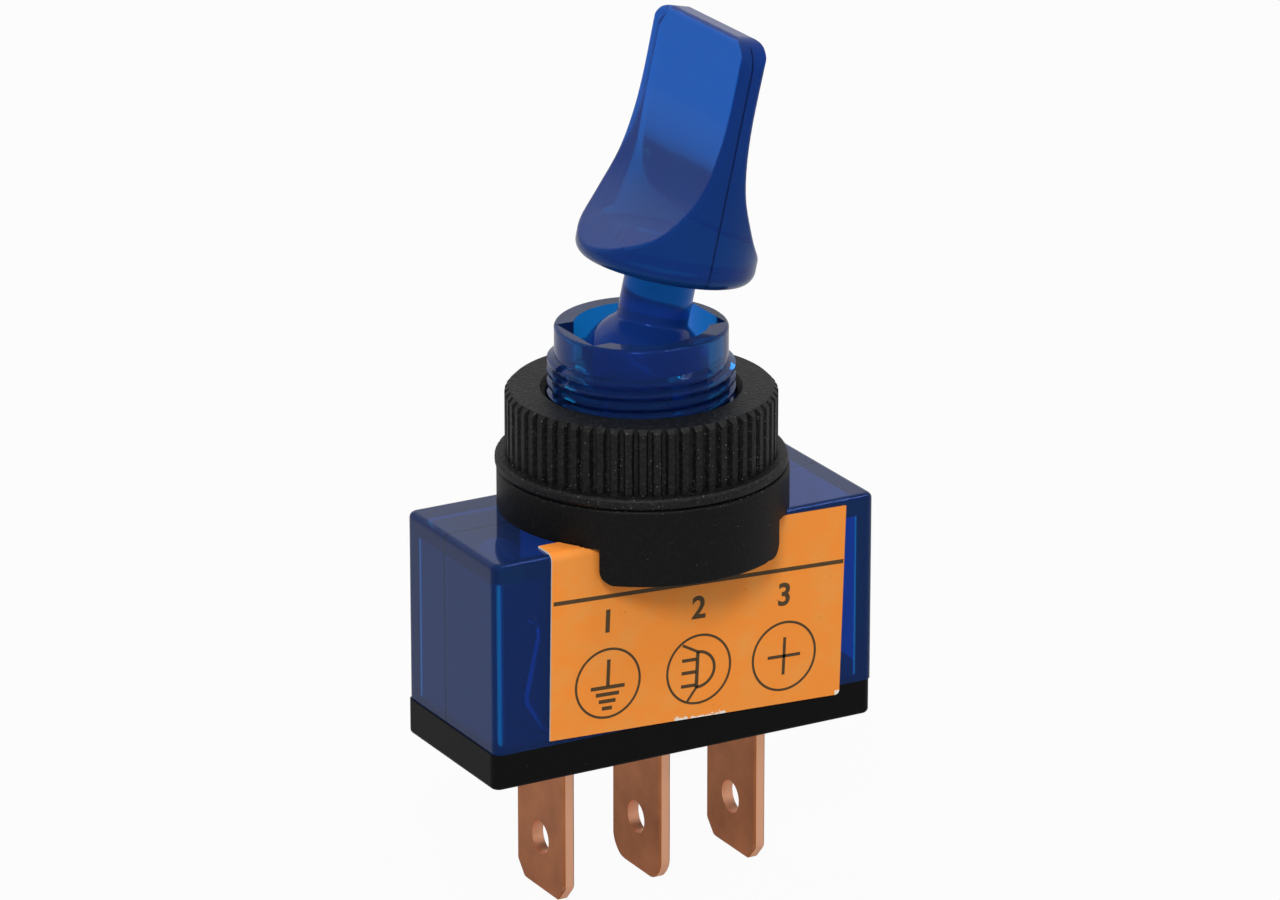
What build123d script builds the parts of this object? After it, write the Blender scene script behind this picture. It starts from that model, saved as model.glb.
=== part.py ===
from build123d import *
import math
import os

os.makedirs("parts", exist_ok=True)

# Illuminated panel toggle switch with a duckbill lever, on-off, three blade terminals.
# Millimetres, +Z up. X runs along the housing, from the ground blade to the power blade.
# The origin is on the threaded bushing's axis, in the plane of the housing's top face.

# Housing: one hollow moulding, open below, with the bushing on its top
housing_length = 27.65
housing_width = 11.9
housing_height = 12.75
housing_wall = 0.9
housing_roof = 1.6
housing_corner_fillet = 0.6
housing_top_fillet = 0.4
cavity_fillet = 0.4

# Bushing
thread_diameter = 12.0
thread_pitch = 0.75
thread_depth = 0.45
thread_foot_width = 0.64
thread_crest_width = 0.2
thread_sink = 0.1
thread_length = 10.3
thread_start = 0.2
thread_turn = 69.0
parting_flat_width = 0.8
pilot_length = 1.7
bushing_edge_fillet = 0.2
socket_diameter = 8.6
mouth_notch_depth = 0.5
mouth_slot_height = 3.0

# Base: the black moulding that closes the housing
base_thickness = 2.4
base_shift = 0.1
base_edge_fillet = 0.3
base_plug_height = 1.2
base_fit = 0.05
lamp_post_length = 3.2
lamp_post_width = 1.6
rest_post_length = 1.5
rest_post_width = 4.0
rest_post_reach = 4.2
rest_clearance = 0.1
screen_wall = 0.5
screen_roof_gap = 0.15
screen_light_gap = 0.12
screen_length = 6.0
screen_front_length = 3.8
screen_lead_gap = 0.15
screen_hole_size = 1.1
lead_pocket_length = 2.8

# Spacer that straddles the housing under the nut
spacer_diameter = 18.7
spacer_thickness = 2.68
spacer_bore_clearance = 0.2
spacer_shift = 0.12
spacer_turn = -4.0
tab_drop = 2.41
tab_inner_gap = 0.95
tab_half_length = 6.3
tab_corner_fillet = 1.0
spacer_edge_fillet = 0.2

# Knurled nut with its flange
nut_clearance = 0.05
nut_thread_clearance = 0.1
nut_height = 4.35
nut_flange_step = 0.65
nut_flange_thickness = 0.75
nut_flange_fillet = 0.25
nut_bore_chamfer = 0.35
nut_top_chamfer = 0.3
knurl_count = 60
knurl_depth = 0.3
knurl_crest_share = 0.45
knurl_valley_start = 0.6
knurl_valley_end = 0.85

# Lever: duckbill, neck, ball and stem in one moulding
lever_swing = 26.0
pivot_height = 8.75
ball_clearance = 0.15
neck_diameter = 4.6
neck_side_clearance = 0.1
neck_fillet = 0.45
paddle_diameter = 11.6
paddle_bottom = 6.83
paddle_top = 22.95
paddle_bottom_fillet = 1.0
paddle_corner_fillet = 2.0
paddle_edge_fillet = 0.4
blade_half_thickness = 0.85
flank = [(5.9, 7.8), (4.75, 8.8), (3.6, 9.75), (2.53, 11.2), (1.7, 12.8), (1.2, 14.7), (0.93, 17.2)]
stem_wall = 0.7
plunger_bore_diameter = 3.0
plunger_bore_roof = 1.6

# Pivot pin through the ball, closed in by the bushing's wall
pin_diameter = 1.2
pin_end_wall = 0.65
pin_end_chamfer = 0.1
pin_running_clearance = 0.05
pin_seat_clearance = 0.02

# Plunger and its spring
plunger_clearance = 0.1
plunger_length = 7.5
plunger_reach = 4.0
plunger_tip_radius = 1.0
plunger_tip_gap = 0.33
plunger_taper = 1.2
spring_wire = 0.4
spring_side_clearance = 0.2
spring_turns = 6
spring_end_gap = 0.05

# Rocker, the moving contact, which tilts on the middle terminal's rounded top edge
fulcrum_height = 5.8
fulcrum_depth = 0.1
fulcrum_clearance = 0.05
rocker_swing = 8.0
rocker_vee = 10.0
rocker_thickness = 0.8
rocker_width = 5.0
rocker_end_margin = 0.2
rocker_rest_reach = 5.0
prong_inset = 1.8
prong_height = 1.9
prong_side_clearance = 0.1
prong_swing_clearance = 0.35

# Contact tips
contact_inset = 1.05
contact_height = 0.5
contact_edge_fillet = 0.1
moving_contact_diameter = 2.0
fixed_contact_diameter = 2.2
contact_gap_closed = 0.1

# Terminals
blade_end_margin = 6.775
blade_width = 6.3
blade_thickness = 0.8
blade_length = 10.15
blade_tip_chamfer_height = 1.05
blade_tip_chamfer_width = 0.95
blade_tip_fillet = 0.5
switched_tip_fillet = 1.4
blade_edge_bevel = 0.12
blade_bevel_run_out = 0.3
blade_hole_diameter = 2.2
blade_hole_from_base = 6.55
blade_slot_clearance = 0.05
shoulder_width = 7.2
shoulder_height = 1.5
ground_terminal_height = 4.8
contact_arm_width = 4.0
contact_arm_overhang = 1.3

# Lamp
lamp_diameter = 3.0
lamp_length = 3.0
lamp_flange_diameter = 3.6
lamp_flange_thickness = 0.8
lamp_roof_gap = 0.1
lamp_end_gap = 0.7

# Resistor and the leads
resistor_diameter = 1.6
resistor_end_fillet = 0.3
resistor_wall_gap = 0.1
resistor_terminal_gap = 1.325
lead_diameter = 0.5
lead_pitch = 2.54
lead_drop = 0.4
lead_landing = 0.7
lead_low_shift = 0.8
lead_wall_gap = 0.1
lead_stub = 0.4
lead_bow = 0.8
lead_lift = 0.15

# Paper label on the front face: each corner as an offset from the same corner of that face
label_thickness = 0.12
label_gap = 0.01
label_top_left = (4.025, 0.15)
label_top_right = (-2.225, -0.45)
label_bottom_right = (-2.625, -0.56)
label_bottom_left = (3.825, 0.36)
label_fold_depth = 1.7
label_fold_length = 2.6
label_corner_fillet = 0.3

# How far a cut runs past the face that it opens
past = 1.0

# Places that follow from the sizes above
housing_bottom = -housing_height
base_bottom = housing_bottom - base_thickness
plug_top = housing_bottom + base_plug_height
thread_radius = thread_diameter / 2
thread_root = thread_radius - thread_depth
bushing_top = thread_length + pilot_length
ball_diameter = socket_diameter - 2 * ball_clearance
stem_diameter = plunger_bore_diameter + 2 * stem_wall
pin_length = 2 * (thread_root - pin_end_wall)
cavity_length = housing_length - 2 * housing_wall
cavity_width = housing_width - 2 * housing_wall
nut_flange_diameter = spacer_diameter
nut_diameter = nut_flange_diameter - 2 * nut_flange_step
nut_bottom = spacer_thickness + nut_clearance
nut_flange_top = nut_bottom + nut_flange_thickness
blade_pitch = housing_length / 2 - blade_end_margin
contact_reach = blade_pitch - contact_inset
axis_height = plug_top + fulcrum_height
valley_height = axis_height + rocker_thickness + fulcrum_depth
rocker_live_reach = contact_reach + moving_contact_diameter / 2 + rocker_end_margin
pressed_arm_rise = math.radians(rocker_vee - rocker_swing)
lever_rest_tilt = lever_swing / 2
rest_tilt = math.radians(lever_rest_tilt)
tip_drop = pivot_height - valley_height - (plunger_tip_radius + plunger_tip_gap) / math.cos(pressed_arm_rise)
tip_reach = tip_drop / (math.cos(rest_tilt) + math.sin(rest_tilt) * math.tan(pressed_arm_rise))
stem_length = tip_reach - plunger_reach
plunger_top = tip_reach - plunger_length
blade_bottom = base_bottom - blade_length
shoulder_top = plug_top + shoulder_height
lamp_x = -cavity_length / 2 + lamp_end_gap + lamp_flange_diameter / 2
lamp_base_height = -housing_roof - lamp_roof_gap - lamp_length
resistor_x = -blade_pitch / 2
resistor_length = blade_pitch - blade_thickness - 2 * resistor_terminal_gap
resistor_y = cavity_width / 2 - resistor_wall_gap - resistor_diameter / 2
resistor_height = shoulder_top + lead_lift + lead_diameter / 2
lead_wall_y = -cavity_width / 2 + lead_wall_gap + lead_diameter / 2
lead_top_height = lamp_base_height - lead_drop

# The lever's frame at rest: the ball's centre, leaning towards +X
lever_frame = Pos(0, 0, pivot_height) * Rot(0, lever_rest_tilt, 0)


def block(length, width, low, high):
    """A box centred on the Z axis, from one height to another."""
    return Pos(0, 0, (low + high) / 2) * Box(length, width, high - low)


def rod(diameter, low, high):
    """A cylinder on the Z axis, from one height to another."""
    return Pos(0, 0, (low + high) / 2) * Cylinder(diameter / 2, high - low)


def cross_rod(diameter, length):
    """A cylinder along Y, centred on the origin."""
    return Rot(90, 0, 0) * Cylinder(diameter / 2, length)


def side_plate(points, width):
    """A plate with this outline in the XZ plane, centred on it."""
    outline = Polyline([(x, 0, z) for x, z in points], close=True)
    return extrude(make_face(outline), amount=width / 2, dir=(0, 1, 0), both=True)


def shell_block(grow, low=housing_bottom):
    """The housing's outer block with its rounded edges, grown by a thickness."""
    body = block(housing_length + 2 * grow, housing_width + 2 * grow, low, grow)
    body = fillet(body.edges().filter_by(Axis.Z), housing_corner_fillet + grow)
    return fillet(body.faces().sort_by(Axis.Z)[-1].edges(), housing_top_fillet + grow)


def threaded_bushing():
    """A plain shank with a helical ridge on it, and the mould's two flats across the thread."""
    shank = rod(2 * thread_root, -housing_roof / 2, bushing_top)
    shank = fillet(shank.faces().sort_by(Axis.Z)[-1].edges(), bushing_edge_fillet)
    foot, crest = thread_foot_width / 2, thread_crest_width / 2
    sunk = thread_root - thread_sink
    corners = [(sunk, 0, -foot), (sunk, 0, foot), (thread_radius, 0, crest), (thread_radius, 0, -crest)]
    turns = Helix(thread_pitch, thread_length - thread_start - 2 * foot, thread_radius)
    ridge = sweep(make_face(Polyline(corners, close=True)), path=turns, is_frenet=True)
    body = shank + Pos(0, 0, thread_start + foot) * Rot(0, 0, thread_turn) * ridge
    for side in (-1, 1):
        flat = Box(2 * thread_depth, parting_flat_width, thread_length)
        body -= Pos(side * (thread_root + thread_depth), 0, thread_length / 2) * flat
    return body


def housing():
    body = shell_block(0)
    cavity = block(cavity_length, cavity_width, housing_bottom - past, -housing_roof)
    cavity = fillet(cavity.edges().filter_by(Axis.Z), cavity_fillet)
    body = body - cavity + threaded_bushing()
    body -= rod(socket_diameter, -housing_roof - past, bushing_top + past)
    slot_length = socket_diameter + 2 * mouth_notch_depth
    slot_width = neck_diameter + 2 * neck_side_clearance
    body -= block(slot_length, slot_width, bushing_top - mouth_slot_height, bushing_top + past)
    channel_width = pin_diameter + 2 * pin_seat_clearance
    channel_length = pin_length + 2 * pin_seat_clearance
    body -= block(channel_width, channel_length, -housing_roof - past, pivot_height)
    return body - Pos(0, 0, pivot_height) * cross_rod(channel_width, channel_length)


def inner_block(high):
    """The room between the housing's walls, from the base up to a height."""
    room = block(cavity_length - 2 * base_fit, cavity_width - 2 * base_fit, housing_bottom, high)
    return fillet(room.edges().filter_by(Axis.Z), cavity_fillet)


def lamp_screen():
    """Thin dark walls behind the housing's end: across the end, along the rear wall and behind the lead."""
    low, high = housing_bottom, -housing_roof - screen_roof_gap
    end_x = -cavity_length / 2 + base_fit
    rear_y = cavity_width / 2 - base_fit
    end_width = cavity_width - base_fit - screen_light_gap
    walls = Pos(end_x + screen_wall / 2, end_width / 2 - rear_y, 0) * block(screen_wall, end_width, low, high)
    rear_x = end_x + screen_wall + screen_length / 2
    walls += Pos(rear_x, rear_y - screen_wall / 2, 0) * block(screen_length, screen_wall, low, high)
    front_y = lead_wall_y + lead_diameter / 2 + screen_lead_gap + screen_wall / 2
    front = Pos(end_x + screen_front_length / 2, front_y, 0) * block(screen_front_length, screen_wall, low, high)
    hole = Box(screen_hole_size, 2 * screen_wall, screen_hole_size)
    return inner_block(high) & (walls + (front - Pos(lamp_x, front_y, lead_top_height) * hole))


def base():
    cover = Pos(-base_shift, 0, 0) * block(housing_length, housing_width, base_bottom, housing_bottom)
    cover = fillet(cover.edges().filter_by(Axis.Z), housing_corner_fillet)
    cover = fillet(cover.faces().sort_by(Axis.Z)[0].edges(), base_edge_fillet)
    lamp_post = block(lamp_post_length, lamp_post_width, housing_bottom, lamp_base_height)
    rest_top = axis_height + fulcrum_depth + rest_post_reach * math.tan(pressed_arm_rise) - rest_clearance
    rest_post = block(rest_post_length, rest_post_width, housing_bottom, rest_top)
    body = cover + inner_block(plug_top) + lamp_screen()
    body += Pos(lamp_x, 0, 0) * lamp_post + Pos(-rest_post_reach, 0, 0) * rest_post
    pocket_width = 2 * (lead_diameter + 2 * lead_wall_gap)
    pocket = block(lead_pocket_length, pocket_width, housing_bottom, plug_top + past)
    body -= Pos(lamp_x + lead_low_shift, -cavity_width / 2, 0) * pocket
    slot_length = blade_thickness + 2 * blade_slot_clearance
    slot_width = blade_width + 2 * blade_slot_clearance
    for place in (-1, 0, 1):
        slot = block(slot_length, slot_width, base_bottom - past, plug_top + past)
        body -= Pos(place * blade_pitch, 0, 0) * slot
    return body


def spacer_collar():
    disc = rod(spacer_diameter, 0, spacer_thickness)
    disc = fillet(disc.faces().sort_by(Axis.Z)[-1].edges(), spacer_edge_fillet)
    skirt = rod(spacer_diameter, -tab_drop, spacer_thickness / 2)
    skirt = fillet(skirt.faces().sort_by(Axis.Z)[0].edges(), spacer_edge_fillet)
    window = block(2 * tab_half_length, spacer_diameter + past, -tab_drop, spacer_thickness / 2)
    window = fillet(window.edges().filter_by(Axis.Y).group_by(Axis.Z)[0], tab_corner_fillet)
    saddle_width = housing_width + 2 * tab_inner_gap
    tabs = (skirt & window) - block(spacer_diameter + past, saddle_width, -tab_drop - past, spacer_thickness)
    bore = rod(thread_diameter + 2 * spacer_bore_clearance, -tab_drop, spacer_thickness + past)
    return Pos(spacer_shift, 0, 0) * Rot(0, 0, spacer_turn) * (disc + tabs - bore)


def panel_nut():
    crest = nut_diameter / 2
    valley = crest - knurl_depth
    rib = [(0, crest), (knurl_crest_share, crest), (knurl_valley_start, valley), (knurl_valley_end, valley)]
    step = 2 * math.pi / knurl_count
    points = []
    for number in range(knurl_count):
        for share, radius in rib:
            angle = (number + share) * step
            points.append((radius * math.cos(angle), radius * math.sin(angle)))
    knurled = extrude(make_face(Polyline(points, close=True)), amount=nut_height)
    bevel = rod(nut_diameter, 0, nut_height)
    bevel = chamfer(bevel.faces().sort_by(Axis.Z)[-1].edges(), nut_top_chamfer)
    knurled = Pos(0, 0, nut_flange_top) * (knurled & bevel)
    flange = rod(nut_flange_diameter, nut_bottom, nut_flange_top)
    flange = fillet(flange.edges().filter_by(GeomType.CIRCLE), nut_flange_fillet)
    bore_radius = thread_radius + nut_thread_clearance
    top = nut_flange_top + nut_height
    countersink = Cone(bore_radius, bore_radius + nut_bore_chamfer, nut_bore_chamfer)
    body = knurled + flange - rod(2 * bore_radius, nut_bottom - past, top + past)
    return body - Pos(0, 0, top - nut_bore_chamfer / 2) * countersink


def paddle():
    """The duckbill: a round skirt whose two sides are scooped down to a thin blade."""
    wide = paddle_diameter
    right = [(blade_half_thickness, 0, paddle_top + past)]
    right += [(x, 0, z) for x, z in reversed(flank)]
    left = [(-x, y, z) for x, y, z in right]
    scoop_low = flank[0][1]
    under = paddle_bottom - past
    outline = [
        Spline(right),
        Line(right[-1], (wide, 0, scoop_low)),
        Line((wide, 0, scoop_low), (wide, 0, under)),
        Line((wide, 0, under), (-wide, 0, under)),
        Line((-wide, 0, under), (-wide, 0, scoop_low)),
        Line((-wide, 0, scoop_low), left[-1]),
        Spline(left),
        Line(left[0], right[0]),
    ]
    side = extrude(make_face(Curve() + outline), amount=wide, dir=(0, 1, 0), both=True)
    body = rod(paddle_diameter, paddle_bottom, paddle_top)
    body = fillet(body.faces().sort_by(Axis.Z)[0].edges(), paddle_bottom_fillet) & side
    rim = [edge for edge in body.edges() if edge.center().Z > scoop_low + paddle_edge_fillet / 3]
    body = fillet(rim, paddle_edge_fillet)
    front = block(2 * wide, paddle_diameter, under, paddle_top)
    return body & fillet(front.edges().filter_by(Axis.X).group_by(Axis.Z)[-1], paddle_corner_fillet)


def lever():
    ball_radius = ball_diameter / 2
    body = Sphere(ball_radius) + rod(neck_diameter, 0, paddle_bottom + paddle_bottom_fillet)
    circles = body.edges().filter_by(GeomType.CIRCLE)
    junction = [edge for edge in circles if 0 < edge.center().Z < ball_radius]
    body = fillet(junction, neck_fillet)
    body += paddle()
    body += rod(stem_diameter, -stem_length, 0)
    body -= rod(plunger_bore_diameter, -stem_length - past, -plunger_bore_roof)
    body -= cross_rod(pin_diameter + 2 * pin_running_clearance, ball_diameter + past)
    return lever_frame * body


def pivot_pin():
    pin = cross_rod(pin_diameter, pin_length)
    return Pos(0, 0, pivot_height) * chamfer(pin.edges().filter_by(GeomType.CIRCLE), pin_end_chamfer)


def plunger():
    radius = plunger_bore_diameter / 2 - plunger_clearance
    slant = plunger_tip_radius * math.sqrt(0.5)
    top = (0, 0, -plunger_top)
    top_edge = (radius, 0, -plunger_top)
    taper_start = (radius, 0, -tip_reach + plunger_taper)
    taper_end = (plunger_tip_radius, 0, -tip_reach)
    tip = (0, 0, -tip_reach - plunger_tip_radius)
    outline = [
        Line(top, top_edge),
        Line(top_edge, taper_start),
        Line(taper_start, taper_end),
        ThreePointArc(taper_end, (slant, 0, -tip_reach - slant), tip),
        Line(tip, top),
    ]
    return lever_frame * revolve(make_face(Curve() + outline), Axis.Z)


def plunger_spring():
    low = -plunger_top + spring_wire / 2 + spring_end_gap
    high = -plunger_bore_roof - spring_wire / 2 - spring_end_gap
    height = high - low
    coil_radius = (plunger_bore_diameter - spring_wire) / 2 - spring_side_clearance
    path = Pos(0, 0, low) * Helix(height / spring_turns, height, coil_radius)
    start = Plane(origin=path @ 0, z_dir=path % 0)
    return lever_frame * sweep(start * Circle(spring_wire / 2), path=path, is_frenet=True)


def rocker_pose(body):
    """Turn a piece of the rocker from its middle position to its rest position."""
    axis = Axis((0, 0, axis_height), (0, 1, 0))
    return body.rotate(axis, -rocker_swing)


def rocker_contact():
    rise = math.tan(math.radians(rocker_vee))
    top = [(-rocker_rest_reach, rocker_rest_reach * rise), (0, 0), (rocker_live_reach, rocker_live_reach * rise)]
    outline = top + [(x, z - rocker_thickness) for x, z in reversed(top)]
    body = Pos(0, 0, valley_height) * side_plate(outline, rocker_width)
    groove_diameter = blade_thickness + 2 * fulcrum_clearance
    body -= Pos(0, 0, axis_height) * cross_rod(groove_diameter, rocker_width + past)
    notch_inner = prong_inset - prong_side_clearance
    notch_depth = rocker_width / 2 - notch_inner
    notch_length = blade_thickness + 2 * prong_swing_clearance
    for side in (-1, 1):
        middle = side * (notch_inner + notch_depth)
        body -= Pos(0, middle, valley_height) * Box(notch_length, 2 * notch_depth, 6 * rocker_thickness)
    return rocker_pose(body)


def rocker_contact_tip():
    rise = math.radians(rocker_vee)
    head = Pos(0, 0, -contact_height / 2) * Cylinder(moving_contact_diameter / 2, contact_height)
    under = valley_height - rocker_thickness + contact_reach * math.tan(rise)
    return rocker_pose(Pos(contact_reach, 0, under) * Rot(0, -rocker_vee, 0) * head)


def fixed_contact_top():
    """How high the fixed contact may stand when the rocker is closed on it."""
    rise = math.radians(rocker_vee)
    tip_x = contact_reach + contact_height * math.sin(rise)
    tip_z = valley_height - rocker_thickness + contact_reach * math.tan(rise) - contact_height * math.cos(rise)
    swing = math.radians(rocker_swing)
    closed = (tip_z - axis_height) * math.cos(swing) - tip_x * math.sin(swing)
    return axis_height + closed - contact_gap_closed


def power_contact_tip():
    top = fixed_contact_top()
    head = rod(fixed_contact_diameter, top - contact_height, top)
    head = fillet(head.faces().sort_by(Axis.Z)[-1].edges(), contact_edge_fillet)
    return Pos(contact_reach, 0, 0) * head


def plate(points):
    """A flat plate at X = 0, as thick as a blade, from the +Y half of its outline."""
    outline = [(0, y, z) for y, z in points + [(-y, z) for y, z in reversed(points)]]
    return extrude(make_face(Polyline(outline, close=True)), amount=blade_thickness / 2, dir=(1, 0, 0), both=True)


def blade(top, tip_fillet):
    """A blade terminal at X = 0: bevelled tip with its hole, then the shank and shoulders in the base."""
    half, shoulder = blade_width / 2, shoulder_width / 2
    run_out = base_bottom + blade_bevel_run_out
    tip = plate([
        (half - blade_tip_chamfer_width, blade_bottom),
        (half, blade_bottom + blade_tip_chamfer_height),
        (half, run_out),
    ])
    tip = fillet([edge for edge in tip.edges().filter_by(Axis.X) if edge.center().Z < base_bottom], tip_fillet)
    rims = [edge for face in tip.faces().filter_by(Axis.X) for edge in face.edges()]
    tip = chamfer([edge for edge in rims if edge.center().Z < base_bottom], blade_edge_bevel)
    body = tip + plate([
        (half, run_out),
        (half, plug_top),
        (shoulder, plug_top),
        (shoulder, shoulder_top),
        (half, shoulder_top),
        (half, top),
    ])
    hole = Rot(0, 90, 0) * Cylinder(blade_hole_diameter / 2, 3 * blade_thickness)
    return body - Pos(0, 0, base_bottom - blade_hole_from_base) * hole


def ground_terminal():
    return Pos(-blade_pitch, 0, 0) * blade(plug_top + ground_terminal_height, blade_tip_fillet)


def switched_terminal():
    body = blade(axis_height, switched_tip_fillet)
    body += Pos(0, 0, axis_height) * cross_rod(blade_thickness, 2 * (prong_inset - prong_side_clearance))
    prong_width = blade_width / 2 - prong_inset
    prong = block(blade_thickness, prong_width, axis_height - past, axis_height + prong_height)
    for side in (-1, 1):
        body += Pos(0, side * (prong_inset + prong_width / 2), 0) * prong
    return body


def power_terminal():
    arm_top = fixed_contact_top() - contact_height
    body = Pos(blade_pitch, 0, 0) * blade(arm_top, blade_tip_fillet)
    arm_start = contact_reach - contact_arm_overhang
    arm_end = blade_pitch + blade_thickness / 2
    arm = block(arm_end - arm_start, contact_arm_width, arm_top - blade_thickness, arm_top)
    return body + Pos((arm_start + arm_end) / 2, 0, 0) * arm


def led_lamp():
    radius = lamp_diameter / 2
    body = rod(lamp_diameter, 0, lamp_length - radius) + Pos(0, 0, lamp_length - radius) * Sphere(radius)
    body += rod(lamp_flange_diameter, 0, lamp_flange_thickness)
    return Pos(lamp_x, 0, lamp_base_height) * body


def resistor():
    body = Rot(0, 90, 0) * Cylinder(resistor_diameter / 2, resistor_length)
    body = fillet(body.edges().filter_by(GeomType.CIRCLE), resistor_end_fillet)
    return Pos(resistor_x, resistor_y, resistor_height) * body


def wire(points, radii):
    """A round lead along straight runs with a rounded bend at each corner."""
    path = FilletPolyline(points, radius=radii)
    start = Plane(origin=path @ 0, z_dir=path % 0)
    return sweep(start * Circle(lead_diameter / 2), path=path)


def led_ground_lead():
    """From the lamp's foot, out through the screen, down beside the front wall and back to the ground terminal."""
    terminal_face = -blade_pitch - blade_thickness / 2
    landing_y = -blade_width / 2 + lead_diameter
    landing_height = plug_top + shoulder_height / 2
    points = [
        (lamp_x, -lead_pitch / 2, lamp_base_height),
        (lamp_x, -lead_pitch / 2, lead_top_height),
        (lamp_x + lead_diameter / 2, lead_wall_y, lead_top_height),
        (lamp_x - 1.6 * lead_diameter, lead_wall_y, lead_top_height - 0.61 * (lead_top_height - housing_bottom)),
        (lamp_x + lead_low_shift, lead_wall_y, housing_bottom + 0.8 * lead_diameter),
        (terminal_face - lead_landing - lead_diameter / 2, lead_wall_y, landing_height),
        (terminal_face - lead_landing, landing_y, landing_height),
        (terminal_face, landing_y, landing_height),
    ]
    return wire(points, [0.3, 0.4, 1.0, 0.5, 0.5, 0.3])


def led_live_lead():
    """From the lamp's foot, past the ground terminal to the resistor."""
    resistor_end = resistor_x - resistor_length / 2
    points = [
        (lamp_x, lead_pitch / 2, lamp_base_height),
        (lamp_x, lead_pitch / 2, lamp_base_height - 2 * lead_drop),
        (lamp_x + lead_bow, resistor_y, resistor_height),
        (resistor_end, resistor_y, resistor_height),
    ]
    return wire(points, [0.6, 0.8])


def resistor_lead():
    """From the resistor to the switched terminal."""
    resistor_end = resistor_x + resistor_length / 2
    landing_y = blade_width / 2 - 1.5 * lead_diameter
    points = [
        (resistor_end, resistor_y, resistor_height),
        (resistor_end + lead_stub, resistor_y, resistor_height),
        (-blade_thickness / 2 - lead_stub, landing_y, resistor_height),
        (-blade_thickness / 2, landing_y, resistor_height),
    ]
    return wire(points, [0.3, 0.3])


def label_outline():
    """The label's four corners in the plane of the front face."""
    right, left = housing_length / 2, -housing_length / 2
    face_corners = [(left, 0), (right, 0), (right, housing_bottom), (left, housing_bottom)]
    offsets = [label_top_left, label_top_right, label_bottom_right, label_bottom_left]
    return [(x + dx, z + dz) for (x, z), (dx, dz) in zip(face_corners, offsets)]


def front_label():
    """Paper stuck on the front face, with one corner folded over the top edge."""
    corners = label_outline()
    sheet = shell_block(label_gap + label_thickness, base_bottom) - shell_block(label_gap, base_bottom - past)
    face = side_plate(corners, housing_width + 2 * past)
    face = fillet(face.edges().filter_by(Axis.Y).group_by(Axis.Z)[0], label_corner_fillet)
    flat_edge = -housing_width / 2 + housing_top_fillet
    front_half = block(housing_length, housing_width, 2 * housing_bottom, past)
    face &= Pos(0, flat_edge - housing_width / 2, 0) * front_half
    fold_run = label_fold_depth - housing_top_fillet
    fold = block(label_fold_length, fold_run, -housing_top_fillet / 2, past)
    fold = Pos(corners[0][0] + label_fold_length / 2, flat_edge + fold_run / 2, 0) * fold
    spacer_room = Pos(spacer_shift, 0, 0) * rod(spacer_diameter + 2 * label_thickness, -label_gap, past)
    return sheet & (face + fold) - spacer_room


pieces = {
    "housing": housing,
    "base": base,
    "spacer_collar": spacer_collar,
    "panel_nut": panel_nut,
    "lever": lever,
    "pivot_pin": pivot_pin,
    "plunger": plunger,
    "plunger_spring": plunger_spring,
    "rocker_contact": rocker_contact,
    "rocker_contact_tip": rocker_contact_tip,
    "power_contact_tip": power_contact_tip,
    "ground_terminal": ground_terminal,
    "switched_terminal": switched_terminal,
    "power_terminal": power_terminal,
    "led_lamp": led_lamp,
    "resistor": resistor,
    "led_live_lead": led_live_lead,
    "led_ground_lead": led_ground_lead,
    "resistor_lead": resistor_lead,
    "front_label": front_label,
}

for name, make in pieces.items():
    print(name)
    export_step(make(), f"parts/{name}.step")
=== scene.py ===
import bpy
import math
import numpy as np
from mathutils import Matrix, Vector


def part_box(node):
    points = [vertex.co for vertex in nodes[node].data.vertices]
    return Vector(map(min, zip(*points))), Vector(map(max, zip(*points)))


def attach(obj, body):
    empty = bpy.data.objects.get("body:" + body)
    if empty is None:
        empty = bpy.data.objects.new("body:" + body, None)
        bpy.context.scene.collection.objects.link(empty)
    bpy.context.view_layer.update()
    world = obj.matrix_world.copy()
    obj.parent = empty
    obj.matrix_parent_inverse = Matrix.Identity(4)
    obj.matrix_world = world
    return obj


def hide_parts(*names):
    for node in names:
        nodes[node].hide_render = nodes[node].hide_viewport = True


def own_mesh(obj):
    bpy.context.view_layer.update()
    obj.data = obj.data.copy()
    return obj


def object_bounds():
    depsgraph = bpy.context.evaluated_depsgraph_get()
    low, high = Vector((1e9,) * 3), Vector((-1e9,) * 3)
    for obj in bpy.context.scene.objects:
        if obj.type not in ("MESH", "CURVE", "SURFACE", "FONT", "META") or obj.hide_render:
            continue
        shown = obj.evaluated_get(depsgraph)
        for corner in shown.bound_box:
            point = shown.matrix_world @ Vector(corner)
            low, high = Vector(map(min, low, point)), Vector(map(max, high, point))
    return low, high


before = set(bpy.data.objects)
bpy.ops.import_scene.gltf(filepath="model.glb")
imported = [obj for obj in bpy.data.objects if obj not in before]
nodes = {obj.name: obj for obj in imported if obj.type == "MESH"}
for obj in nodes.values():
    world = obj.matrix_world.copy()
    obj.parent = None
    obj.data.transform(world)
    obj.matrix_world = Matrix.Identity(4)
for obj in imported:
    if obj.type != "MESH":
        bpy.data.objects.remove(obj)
cadLow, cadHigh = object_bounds()
print("frame loaded")

mm = 0.001
switchBody = "switch_body"

# Places read from the model, in metres
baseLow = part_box("base")[0]
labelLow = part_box("front_label")[0]
pinLow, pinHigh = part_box("pivot_pin")
pivotPoint = (pinLow + pinHigh) / 2
leverTilt = math.radians(13)  # how far the lever leans at rest


# Small helpers for colours, nodes and meshes

def colour(hexText):
    # sRGB hex to linear light: a straight line near black, a 2.4 power above it
    parts = np.array([int(hexText[i:i + 2], 16) for i in (1, 3, 5)]) / 255
    linear = np.where(parts <= 0.04045, parts / 12.92, ((parts + 0.055) / 1.055) ** 2.4)
    return (*linear.tolist(), 1.0)


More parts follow.
